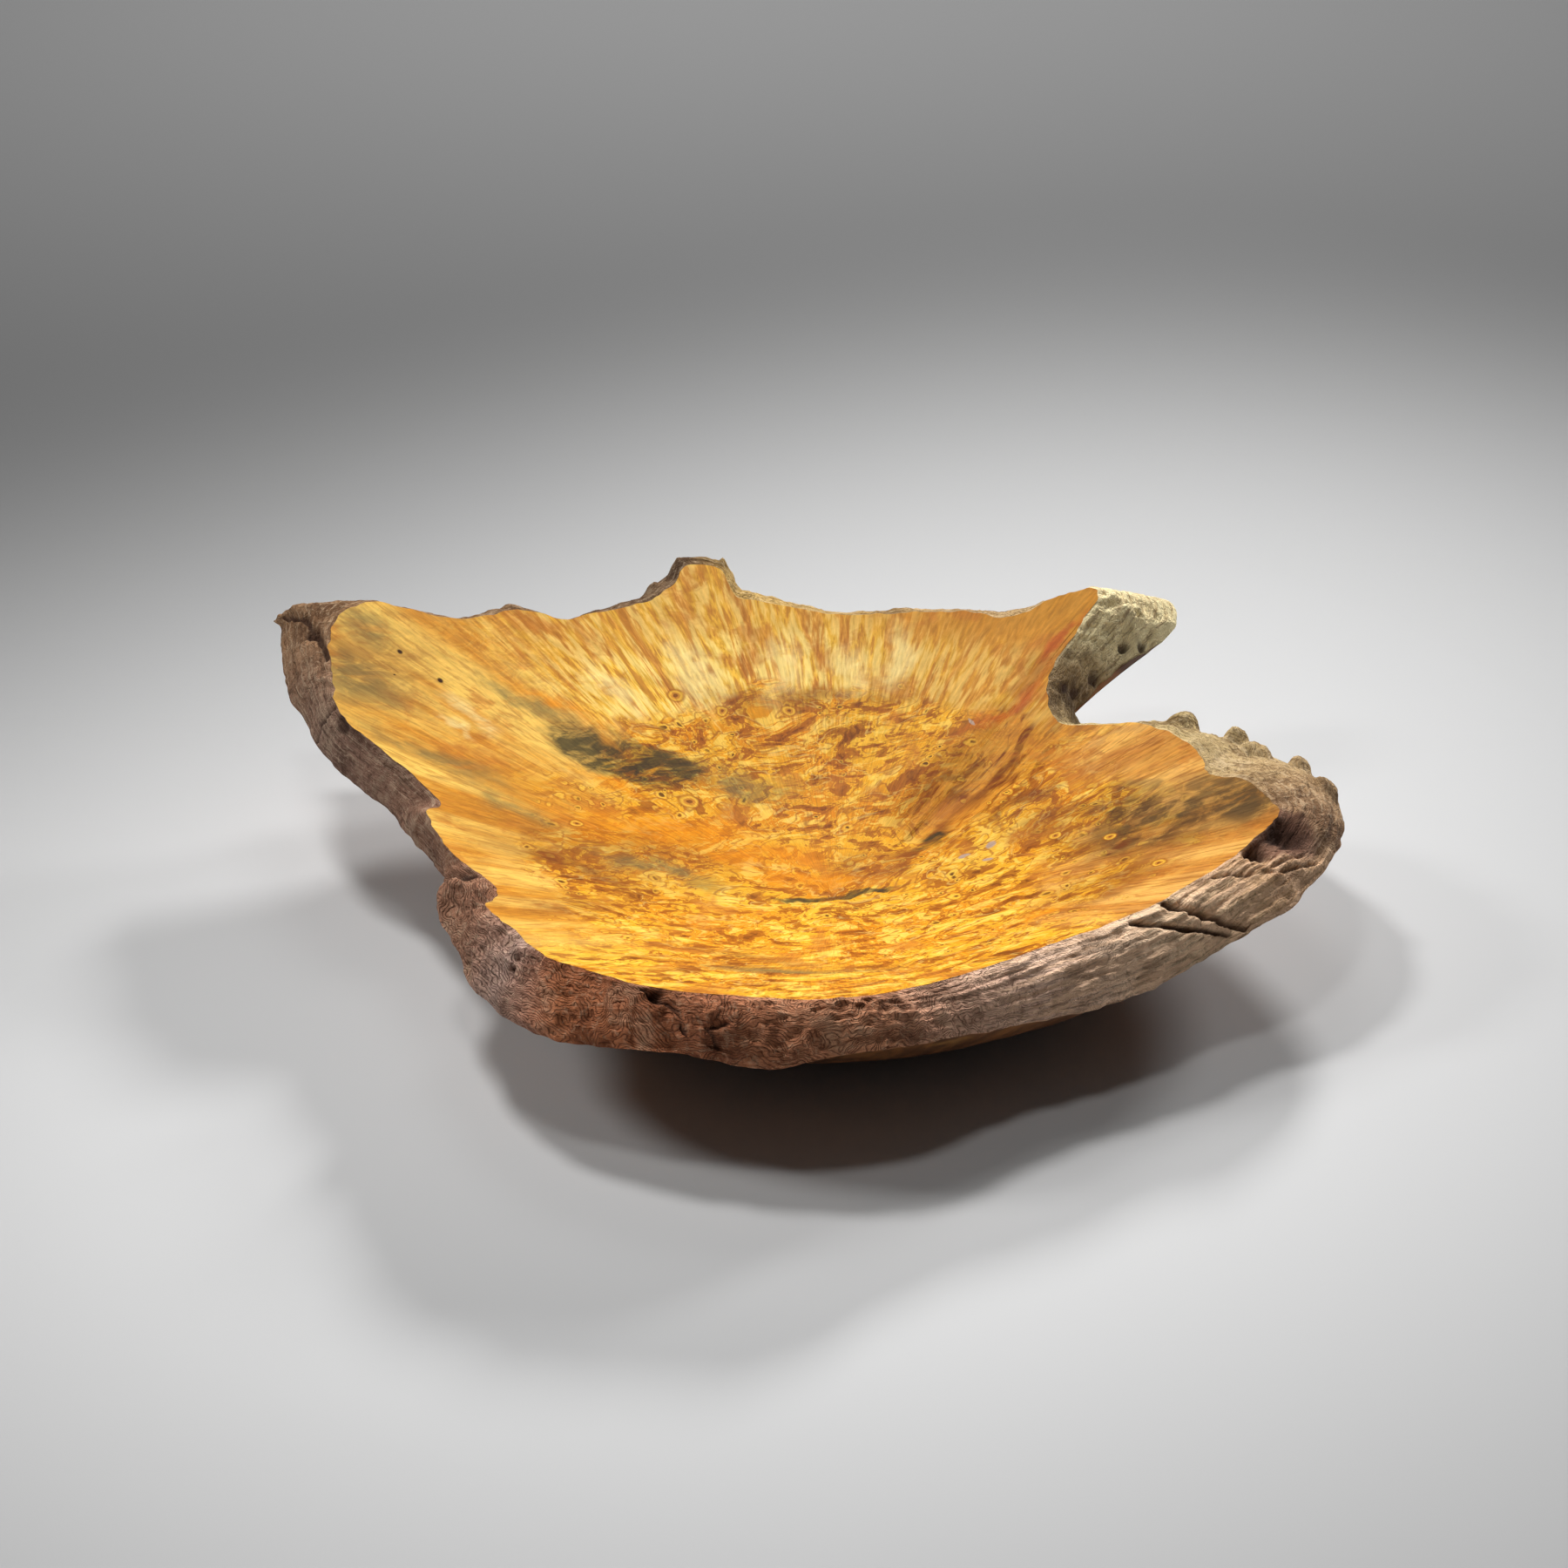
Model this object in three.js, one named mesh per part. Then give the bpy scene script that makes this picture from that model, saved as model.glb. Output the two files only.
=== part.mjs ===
// A natural-edge bowl turned from one maple burl.
//
// Millimetres, +Z up, origin at the middle of the flat foot.  The bowl is one
// closed body with four kinds of face: the turned inside, the untouched skin of
// the burl that forms the rim, the turned outside, and the flat foot.
//
// Two closed outlines drive the shape.  The inner edge is where the inside meets
// the burl skin, and the outer edge is where the skin meets the outside.

import * as THREE from 'three';

// ---- driving dimensions ----------------------------------------------------

const FOOT_RADIUS = 58;
const BOTTOM_THICKNESS = 28;

// The inside is a hyperbola of revolution: flat in the middle, straight at the rim.
const WALL_SLOPE = 0.37;
const BOTTOM_ROUNDING = 70;

// The wall stands a little higher on one side, where the wood moved as it dried.
const WARP_HEIGHT = 4.5;
const WARP_ANGLE = THREE.MathUtils.degToRad(-52);
const WARP_SPREAD = THREE.MathUtils.degToRad(25);

// The outside climbs from the foot along a power curve as far as the shoulder,
// and from there it eases over to a straight, flatter flare.
const OUTSIDE_POWER = 2;
const SHOULDER_RADIUS = 150;
const SHOULDER_HEIGHT = 36;
const FLARE_SLOPE = 0.28;
const FLARE_EASING = 16;

// How strongly the outside stays with its profile before it turns to meet its edge.
const EDGE_REACH = 3;

// How far the radial lines of the outside are spread evenly around the foot.
const FOOT_SPREAD = 0.35;

// The burl skin swells out between its two edges.
const SKIN_SWELL = 5;

// Facets.
const STEPS_PER_STATION = 2;
const INSIDE_RINGS = 8;
const SKIN_RINGS = 5;
const OUTSIDE_RINGS = 6;

const HONEY_MAPLE = 0xc98a35;
const WOOD_ROUGHNESS = 0.45;

// ---- rim stations, counter-clockwise seen from above -----------------------
// Each row: inner edge x, y; outer edge x, y, z.

const RIGHT_LOBE = [
  [179, -18, 207, -8, 59],
  [176, 8, 210, 26, 58],
  [169, 26, 203, 56, 56],
  [157, 36, 190, 82, 53],
  [155, 50, 178, 97, 50],
  [145, 74, 162, 106, 46],
  [131, 90, 147, 114, 44],
  [119, 94, 134, 121, 42],
  [104, 99, 121, 128, 41],
];

const NOTCH = [
  [96, 105, 112, 134, 42],
  [94, 119, 107, 140, 46],
  [96, 137, 116, 154, 52],
  [105, 155, 128, 170, 55],
  [113, 170, 142, 184, 58],
];

const HORN = [
  [118, 180, 156, 205, 63],
  [118, 187, 155, 220, 68],
  [108, 187, 136, 224, 68],
  [100, 185, 118, 219, 66],
  [88, 180, 98, 212, 63],
  [76, 178, 80, 208, 61],
];

const BACK = [
  [60, 184, 60, 212, 56],
  [15, 187, 15, 214, 54],
  [-15, 190, -13, 216, 54],
  [-33, 194, -30, 222, 57],
];

const BACK_KNOB = [
  [-42, 196, -38, 223, 62],
  [-49, 213, -46, 240, 70],
  [-64, 213, -66, 245, 69],
  [-69, 201, -77, 230, 66],
  [-79, 189, -92, 217, 58],
];

const BACK_LEFT = [
  [-102, 176, -112, 204, 56],
  [-117, 166, -128, 194, 56],
  [-133, 168, -146, 196, 59],
  [-147, 162, -162, 190, 61],
  [-160, 152, -178, 176, 64],
  [-184, 151, -204, 174, 70],
  [-198, 149, -224, 174, 76],
];

const LEFT_LOBE = [
  [-210, 138, -245, 170, 80],
  [-214, 126, -240, 157, 80],
  [-214, 106, -238, 134, 77],
  [-210, 84, -232, 106, 73],
  [-208, 66, -222, 83, 68],
  [-202, 53, -213, 62, 64],
];

const LEFT_WAIST = [
  [-184, 36, -197, 42, 58],
  [-170, 22, -184, 28, 55],
  [-161, 7, -178, 14, 54],
  [-166, -3, -171, 2, 53],
  [-158, -24, -162, -18, 52],
  [-149, -41, -155, -36, 53],
];

const LEFT_FRONT = [
  [-139, -53, -157, -60, 55],
  [-133, -67, -154, -76, 54],
  [-136, -84, -146, -96, 49],
  [-130, -98, -142, -112, 47],
  [-121, -114, -136, -124, 47],
  [-114, -131, -124, -142, 46],
  [-107, -143, -106, -160, 48],
  [-93, -151, -88, -170, 50],
];

const FRONT = [
  [-79, -161, -67, -180, 54],
  [-57, -168, -45, -184, 52],
  [-30, -168, -26, -187, 50],
  [-10, -170, -4, -187, 55],
  [8, -166, 20, -180, 55],
  [33, -150, 45, -160, 49],
  [59, -131, 68, -142, 44],
];

const RIGHT_FRONT = [
  [82, -114, 92, -128, 42],
  [104, -98, 116, -113, 42],
  [126, -80, 142, -90, 44],
  [140, -64, 163, -78, 51],
  [155, -50, 179, -63, 54],
  [168, -31, 194, -41, 58],
];

const STATIONS = [
  ...RIGHT_LOBE, ...NOTCH, ...HORN, ...BACK, ...BACK_KNOB, ...BACK_LEFT,
  ...LEFT_LOBE, ...LEFT_WAIST, ...LEFT_FRONT, ...FRONT, ...RIGHT_FRONT,
];

// ---- profiles --------------------------------------------------------------

function insideRise(radius) {
  return WALL_SLOPE * (Math.hypot(radius, BOTTOM_ROUNDING) - BOTTOM_ROUNDING);
}

function warp(angle) {
  const away = Math.atan2(Math.sin(angle - WARP_ANGLE), Math.cos(angle - WARP_ANGLE));
  return WARP_HEIGHT * Math.exp(-((away / WARP_SPREAD) ** 2));
}

// The inside along one radius; the warp grows with the rise towards the edge.
function insidePoint(radius, edge) {
  const rise = insideRise(radius);
  const lift = warp(edge.angle) * rise / insideRise(edge.radius);
  return new THREE.Vector3(
    radius * Math.cos(edge.angle),
    radius * Math.sin(edge.angle),
    BOTTOM_THICKNESS + rise + lift,
  );
}

// The skin from the inner edge (share 0) to the outer edge (share 1).
function skinPoint(inner, outer, share) {
  const chord = outer.clone().sub(inner);
  const run = Math.hypot(chord.x, chord.y);
  const outward = new THREE.Vector3(-chord.x * chord.z / run, -chord.y * chord.z / run, run).normalize();
  const swell = SKIN_SWELL * Math.sin(Math.PI * share);
  return inner.clone().addScaledVector(chord, share).addScaledVector(outward, swell);
}

function outsideHeight(radius) {
  if (radius <= SHOULDER_RADIUS) {
    const climbed = Math.max(0, radius - FOOT_RADIUS) / (SHOULDER_RADIUS - FOOT_RADIUS);
    return SHOULDER_HEIGHT * climbed ** OUTSIDE_POWER;
  }
  const beyond = radius - SHOULDER_RADIUS;
  const shoulderSlope = OUTSIDE_POWER * SHOULDER_HEIGHT / (SHOULDER_RADIUS - FOOT_RADIUS);
  const easing = (shoulderSlope - FLARE_SLOPE) * FLARE_EASING;
  return SHOULDER_HEIGHT + FLARE_SLOPE * beyond + easing * (1 - Math.exp(-beyond / FLARE_EASING));
}

// The outside from the outer edge (share 1) down to the foot (share 0).
function outsidePoint(edge, footAngle, share) {
  const foot = new THREE.Vector3(
    FOOT_RADIUS * Math.cos(footAngle),
    FOOT_RADIUS * Math.sin(footAngle),
    0,
  );
  const point = foot.lerp(edge, share);
  const lift = edge.z - outsideHeight(Math.hypot(edge.x, edge.y));
  point.z = outsideHeight(Math.hypot(point.x, point.y)) + lift * share ** EDGE_REACH;
  return point;
}

// ---- the body --------------------------------------------------------------

function closedCurve(points) {
  return new THREE.CatmullRomCurve3(points, true, 'centripetal');
}

// An angle moved part of the way towards its evenly spaced place.
function spreadAngle(angle, evenAngle) {
  const gap = Math.atan2(Math.sin(evenAngle - angle), Math.cos(evenAngle - angle));
  return angle + FOOT_SPREAD * gap;
}

// One meridian: every point from just off the middle of the inside, over the
// rim, and down the outside to the edge of the foot.
function meridian(innerXY, outer, evenAngle) {
  const edge = { radius: Math.hypot(innerXY.x, innerXY.y), angle: Math.atan2(innerXY.y, innerXY.x) };
  const points = [];
  for (let ring = 1; ring <= INSIDE_RINGS; ring += 1) {
    points.push(insidePoint(edge.radius * ring / INSIDE_RINGS, edge));
  }
  const inner = points[points.length - 1];
  for (let ring = 1; ring < SKIN_RINGS; ring += 1) {
    points.push(skinPoint(inner, outer, ring / SKIN_RINGS));
  }
  const footAngle = spreadAngle(Math.atan2(outer.y, outer.x), evenAngle);
  for (let ring = OUTSIDE_RINGS; ring >= 0; ring -= 1) {
    points.push(outsidePoint(outer, footAngle, ring / OUTSIDE_RINGS));
  }
  return points;
}

function bowlGeometry() {
  const innerCurve = closedCurve(STATIONS.map(([x, y]) => new THREE.Vector3(x, y, 0)));
  const outerCurve = closedCurve(STATIONS.map(([, , x, y, z]) => new THREE.Vector3(x, y, z)));
  const around = STATIONS.length * STEPS_PER_STATION;

  const positions = [0, 0, BOTTOM_THICKNESS, 0, 0, 0];
  const insideCentre = 0;
  const footCentre = 1;
  const firstOfGrid = 2;
  let perMeridian = 0;
  for (let step = 0; step < around; step += 1) {
    const turn = step / around;
    const points = meridian(innerCurve.getPoint(turn), outerCurve.getPoint(turn), 2 * Math.PI * turn);
    perMeridian = points.length;
    points.forEach((point) => positions.push(point.x, point.y, point.z));
  }

  const vertex = (step, row) => firstOfGrid + (step % around) * perMeridian + row;
  const indices = [];
  for (let step = 0; step < around; step += 1) {
    indices.push(insideCentre, vertex(step, 0), vertex(step + 1, 0));
    for (let row = 0; row + 1 < perMeridian; row += 1) {
      const here = vertex(step, row);
      const beside = vertex(step + 1, row);
      const below = vertex(step, row + 1);
      const across = vertex(step + 1, row + 1);
      indices.push(here, below, across, here, across, beside);
    }
    indices.push(footCentre, vertex(step + 1, perMeridian - 1), vertex(step, perMeridian - 1));
  }

  const geometry = new THREE.BufferGeometry();
  geometry.setAttribute('position', new THREE.Float32BufferAttribute(positions, 3));
  geometry.setIndex(indices);
  geometry.computeVertexNormals();
  return geometry;
}

const burlWood = new THREE.MeshStandardMaterial({
  color: HONEY_MAPLE,
  roughness: WOOD_ROUGHNESS,
  metalness: 0,
});

const bowl = new THREE.Mesh(bowlGeometry(), burlWood);
bowl.name = 'burl_bowl';

const object = new THREE.Group();
object.name = 'maple_burl_bowl';
object.add(bowl);

export default object;
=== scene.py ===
import math

import bpy
import numpy as np
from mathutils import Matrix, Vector, noise


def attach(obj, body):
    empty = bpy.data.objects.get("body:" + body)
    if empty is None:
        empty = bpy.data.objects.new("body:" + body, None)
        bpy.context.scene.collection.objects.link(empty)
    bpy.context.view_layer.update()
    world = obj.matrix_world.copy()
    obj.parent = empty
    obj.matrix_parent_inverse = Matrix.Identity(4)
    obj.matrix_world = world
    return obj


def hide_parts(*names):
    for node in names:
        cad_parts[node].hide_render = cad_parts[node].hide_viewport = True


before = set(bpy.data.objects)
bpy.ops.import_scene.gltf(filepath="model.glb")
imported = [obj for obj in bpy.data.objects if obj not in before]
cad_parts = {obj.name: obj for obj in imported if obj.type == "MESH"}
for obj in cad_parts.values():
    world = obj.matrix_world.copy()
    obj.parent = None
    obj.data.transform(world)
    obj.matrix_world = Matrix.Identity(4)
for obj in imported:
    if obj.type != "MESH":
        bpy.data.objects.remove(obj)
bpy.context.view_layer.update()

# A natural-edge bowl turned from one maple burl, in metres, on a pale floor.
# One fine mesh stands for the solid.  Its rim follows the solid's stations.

MM = 0.001

# ---- rim stations, the same as the solid's, in millimetres -------------------
# Each row: inner edge x, y; outer edge x, y, z.

RIGHT_LOBE = [
    (179, -18, 207, -8, 59), (176, 8, 210, 26, 58), (169, 26, 203, 56, 56),
    (157, 36, 190, 82, 53), (155, 50, 178, 97, 50), (145, 74, 162, 106, 46),
    (131, 90, 147, 114, 44), (119, 94, 134, 121, 42), (104, 99, 121, 128, 41),
]
NOTCH = [
    (96, 105, 112, 134, 42), (94, 119, 107, 140, 46), (96, 137, 116, 154, 52),
    (105, 155, 128, 170, 55), (113, 170, 142, 184, 58),
]
HORN = [
    (118, 180, 156, 205, 63), (118, 187, 155, 220, 68), (108, 187, 136, 224, 68),
    (100, 185, 118, 219, 66), (88, 180, 98, 212, 63), (76, 178, 80, 208, 61),
]
BACK = [
    (60, 184, 60, 212, 56), (15, 187, 15, 214, 54), (-15, 190, -13, 216, 54),
    (-33, 194, -30, 222, 57),
]
BACK_KNOB = [
    (-42, 196, -38, 223, 62), (-49, 213, -46, 240, 70), (-64, 213, -66, 245, 69),
    (-69, 201, -77, 230, 66), (-79, 189, -92, 217, 58),
]
BACK_LEFT = [
    (-102, 176, -112, 204, 56), (-117, 166, -128, 194, 56), (-133, 168, -146, 196, 59),
    (-147, 162, -162, 190, 61), (-160, 152, -178, 176, 64), (-184, 151, -204, 174, 70),
    (-198, 149, -224, 174, 76),
]
LEFT_LOBE = [
    (-210, 138, -245, 170, 80), (-214, 126, -240, 157, 80), (-214, 106, -238, 134, 77),
    (-210, 84, -232, 106, 73), (-208, 66, -222, 83, 68), (-202, 53, -213, 62, 64),
]
LEFT_WAIST = [
    (-184, 36, -197, 42, 58), (-170, 22, -184, 28, 55), (-161, 7, -178, 14, 54),
    (-166, -3, -171, 2, 53), (-158, -24, -162, -18, 52), (-149, -41, -155, -36, 53),
]
LEFT_FRONT = [
    (-139, -53, -157, -60, 55), (-133, -67, -154, -76, 54), (-136, -84, -146, -96, 49),
    (-130, -98, -142, -112, 47), (-121, -114, -136, -124, 47), (-114, -131, -124, -142, 46),
    (-107, -143, -106, -160, 48), (-93, -151, -88, -170, 50),
]
FRONT = [
    (-79, -161, -67, -180, 54), (-57, -168, -45, -184, 52), (-30, -168, -26, -187, 50),
    (-10, -170, -4, -187, 55), (8, -166, 20, -180, 55), (33, -150, 45, -160, 49),
    (59, -131, 68, -142, 44),
]
RIGHT_FRONT = [
    (82, -114, 92, -128, 42), (104, -98, 116, -113, 42), (126, -80, 142, -90, 44),
    (140, -64, 163, -78, 51), (155, -50, 179, -63, 54), (168, -31, 194, -41, 58),
]
STATIONS = MM * np.array(
    RIGHT_LOBE + NOTCH + HORN + BACK + BACK_KNOB + BACK_LEFT
    + LEFT_LOBE + LEFT_WAIST + LEFT_FRONT + FRONT + RIGHT_FRONT, dtype=float)

# ---- driving sizes -----------------------------------------------------------

FOOT_RADIUS = 58 * MM
BOTTOM_THICKNESS = 28 * MM
WALL_SLOPE = 0.37
BOTTOM_ROUNDING = 70 * MM
WARP_HEIGHT = 4.5 * MM
WARP_ANGLE = math.radians(-52)
WARP_SPREAD = math.radians(25)
OUTSIDE_POWER = 2
SHOULDER_RADIUS = 150 * MM
SHOULDER_HEIGHT = 36 * MM
FLARE_SLOPE = 0.28
FLARE_EASING = 16 * MM
EDGE_REACH = 3
FOOT_SPREAD = 0.35
SKIN_SWELL = 5 * MM
KNOB_BARK = 0.5 * MM
CREASE_PATH = MM * np.array([(98.0, 128.0), (84.0, 100.0), (62.0, 74.0), (36.0, 48.0)])
CREASE_WIDTH = 13 * MM
CREASE_DEPTH = 4 * MM
CREASE_SHOULDER = 1.2 * MM
SHOULDER_AWAY = 2.2
FLATTENING = 4.5 * MM
EDGE_STEPS = 1.5 * MM
EDGE_NICKS = 0.5 * MM
FURROW_LENGTH = 45 * MM
FURROW_WIDTH = 3.2 * MM

AROUND = 960
INSIDE_ROWS = 34
SKIN_ROWS = 52
OUTSIDE_ROWS = 18

# The materials' places on the mesh.
INSIDE, SKIN, OUTSIDE = 0, 1, 2


# ---- the rim's two edges -----------------------------------------------------

def closed_spline(knots, places):
    """Points at these places, counted in knots, on a closed centripetal Catmull-Rom spline."""
    start = np.floor(places).astype(int)
    share = (places - start)[:, None]
    before, here, there, after = (knots[(start + step) % len(knots)] for step in (-1, 0, 1, 2))

    def gap(a, b):
        return np.sqrt(np.linalg.norm(a - b, axis=1))[:, None]

    first, middle, last = gap(before, here), gap(here, there), gap(there, after)
    leave = middle * ((here - before) / first - (there - before) / (first + middle)
                      + (there - here) / middle)
    arrive = middle * ((there - here) / middle - (after - here) / (middle + last)
                       + (after - there) / last)
    rise = share * share * (3 - 2 * share)
    return (here + (there - here) * rise + leave * share * (1 - share) ** 2
            - arrive * share * share * (1 - share))


def even_places():
    """Places round the rim that are evenly spaced along it."""
    fine = np.linspace(0, len(STATIONS), 60 * len(STATIONS) + 1)
    inner = closed_spline(STATIONS[:, :2], fine)
    outer = closed_spline(STATIONS[:, 2:], fine)
    middle = 0.5 * (inner + outer[:, :2])
    length = np.concatenate(([0], np.cumsum(np.linalg.norm(np.diff(middle, axis=0), axis=1))))
    wanted = np.linspace(0, length[-1], AROUND + 1)[:-1]
    return np.interp(wanted, length, fine)


def wavy(points, size, seed, octaves=3):
    """Smooth noise from -1 to 1 at each point, with lumps of this size."""
    shift = Vector((17.3 * seed, -9.1 * seed, 5.7 * seed))
    return np.array([noise.fractal(Vector(p) / size + shift, 0.8, 2.0, octaves) for p in points])


def uneven(edge, seed):
    """The edge moved in and out in small steps and nicks."""
    along = np.roll(edge, -1, axis=0)[:, :2] - np.roll(edge, 1, axis=0)[:, :2]
    sideways = np.column_stack((along[:, 1], -along[:, 0])) / np.linalg.norm(along, axis=1)[:, None]
    flat = np.column_stack((edge[:, :2], np.zeros(len(edge))))
    steps = np.round(2.5 * wavy(flat, 16 * MM, seed)) / 2.5
    push = EDGE_STEPS * steps + EDGE_NICKS * wavy(flat, 4 * MM, seed + 1)
    push = np.convolve(np.concatenate((push[-1:], push, push[:1])), (0.25, 0.5, 0.25), "valid")
    moved = edge.copy()
    moved[:, :2] += push[:, None] * sideways
    return moved


PLACES = even_places()
INNER_XY = uneven(closed_spline(STATIONS[:, :2], PLACES), 5)
OUTER = uneven(closed_spline(STATIONS[:, 2:], PLACES), 7)


def angle_apart(a, b):
    """The angle from b to a, between half a turn each way."""
    return np.arctan2(np.sin(a - b), np.cos(a - b))


# ---- the two turned faces ----------------------------------------------------

def inside_rise(radius):
    """How far the inside has climbed above its middle at a radius."""
    return WALL_SLOPE * (np.hypot(radius, BOTTOM_ROUNDING) - BOTTOM_ROUNDING)


def smooth_step(value, low, high):
    """0 up to low, 1 from high on, smooth between."""
    share = np.clip((value - low) / (high - low), 0, 1)
    return share * share * (3 - 2 * share)


def distance_to_path(points, path):
    """Distance from each point to a path of straight pieces."""
    best = np.full(points.shape[:-1], np.inf)
    for start, end in zip(path[:-1], path[1:]):
        piece = end - start
        share = np.clip((points - start) @ piece / (piece @ piece), 0, 1)
        best = np.minimum(best, np.linalg.norm(points - start - share[..., None] * piece, axis=-1))
    return best


def inside_row(share):
    """The inside at this share of the way from the middle to the inner edge."""
    xy = INNER_XY * share
    edge_radius = np.hypot(*INNER_XY.T)
    angle = np.arctan2(INNER_XY[:, 1], INNER_XY[:, 0])
    warp = WARP_HEIGHT * np.exp(-(angle_apart(angle, WARP_ANGLE) / WARP_SPREAD) ** 2)
    rise = inside_rise(edge_radius * share)
    height = BOTTOM_THICKNESS + rise + warp * rise / inside_rise(edge_radius)
    away = distance_to_path(xy, CREASE_PATH) / CREASE_WIDTH
    crease = CREASE_DEPTH * np.exp(-away ** 2) - CREASE_SHOULDER * np.exp(-(away - SHOULDER_AWAY) ** 2)
    height = height - crease * np.sin(np.pi * min(share, 1.0))
    return np.column_stack((xy, height))


def outside_height(radius):
    """Height of the turned outside: a power curve to the shoulder, then a straight flare."""
    climbed = np.clip((radius - FOOT_RADIUS) / (SHOULDER_RADIUS - FOOT_RADIUS), 0, 1)
    beyond = np.maximum(radius - SHOULDER_RADIUS, 0)
    shoulder_slope = OUTSIDE_POWER * SHOULDER_HEIGHT / (SHOULDER_RADIUS - FOOT_RADIUS)
    easing = (shoulder_slope - FLARE_SLOPE) * FLARE_EASING
    return (SHOULDER_HEIGHT * climbed ** OUTSIDE_POWER + FLARE_SLOPE * beyond
            + easing * (1 - np.exp(-beyond / FLARE_EASING)))


def outside_row(share):
    """The outside at this share of the way from the foot to the outer edge."""
    angle = np.arctan2(OUTER[:, 1], OUTER[:, 0])
    even = 2 * np.pi * PLACES / len(STATIONS)
    angle = angle + FOOT_SPREAD * angle_apart(even, angle)
    foot = FOOT_RADIUS * np.column_stack((np.cos(angle), np.sin(angle)))
    xy = foot + share * (OUTER[:, :2] - foot)
    lift = OUTER[:, 2] - outside_height(np.hypot(*OUTER[:, :2].T))
    height = outside_height(np.hypot(*xy.T)) + lift * share ** EDGE_REACH
    return np.column_stack((xy, height))


# ---- the burl skin between them ----------------------------------------------

def skin_base():
    """The smooth skin, its outward direction and its share across, as rows of points."""
    inner = inside_row(1.0)
    chord = OUTER - inner
    run = np.hypot(chord[:, 0], chord[:, 1])
    outward = np.column_stack((-chord[:, 0] * chord[:, 2] / run, -chord[:, 1] * chord[:, 2] / run, run))
    outward /= np.linalg.norm(outward, axis=1)[:, None]
    across = np.arange(1, SKIN_ROWS) / SKIN_ROWS
    points = inner + across[:, None, None] * chord
    points = points + (SKIN_SWELL * np.sin(np.pi * across))[:, None, None] * outward
    return points, outward, across


# ---- the burl skin displaced: folds, furrows, teeth, cracks and holes ----------

def stretch_of_rim(first, last, soft=0.8):
    """1 at the places from the first station to the last, easing to 0 on both sides."""
    middle, half = 0.5 * (first + last), 0.5 * (last - first)
    count = len(STATIONS)
    away = np.abs((PLACES - middle + count / 2) % count - count / 2)
    return 1 - smooth_step(away, half, half + soft)


# Teeth: station, share across, height and radius in millimetres.
TEETH = [
    (5.3, 0.45, 7, 8), (3.95, 0.70, 6, 6.5), (3.1, 0.72, 4.5, 8), (2.2, 0.85, 6, 6), (1.2, 0.85, 4, 7),
    (24.9, 0.22, 3, 3), (26.6, 0.35, 2, 4), (27.6, 0.35, 2, 4), (48.5, 0.75, 4, 9), (31.2, 0.2, 2, 5),
]
# Hollows: station, share across, depth and radius in millimetres.
HOLLOWS = [
    (67.6, 0.18, 9, 7), (68.4, 0.30, 8, 12), (52.7, 0.39, 3.5, 1.8), (56.4, 0.20, 5, 4),
    (10.5, 0.70, 5, 5), (11.2, 0.85, 5, 6), (12.5, 0.75, 5, 5),
    (13.0, 0.88, 3, 4), (10.4, 0.45, 3, 4), (37.5, 0.35, 4, 5), (41.0, 0.10, 3, 6), (48.0, 0.30, 3, 6),
]
# Cracks this many millimetres deep or deeper get the full painted shade.
FULL_SHADE_DEPTH = 3
# Cracks: depth and half width in millimetres, then the path by station and share across.
CRACKS = [
    (6.0, 1.6, [(65.1, 0.06), (65.4, 0.41), (65.7, 0.70), (66.0, 0.92)]),
    (4.0, 1.1, [(64.4, 0.10), (64.8, 0.34), (65.4, 0.73), (65.7, 0.90)]),
    (2.0, 0.8, [(66.4, 0.10), (66.9, 0.35), (67.4, 0.60), (68.1, 0.85)]),
    (1.5, 0.7, [(67.3, 0.45), (67.9, 0.60), (68.4, 0.80)]),
    (3.0, 1.0, [(56.2, 0.12), (56.6, 0.40), (56.5, 0.75)]),
    (2.5, 1.0, [(57.4, 0.45), (57.0, 0.60), (57.1, 0.85)]),
    (3.0, 1.5, [(36.3, 0.85), (37.0, 0.60), (37.6, 0.30), (38.4, 0.05)]),
    (2.5, 1.4, [(40.3, 0.05), (40.7, 0.45), (40.6, 0.95)]),
]


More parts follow.
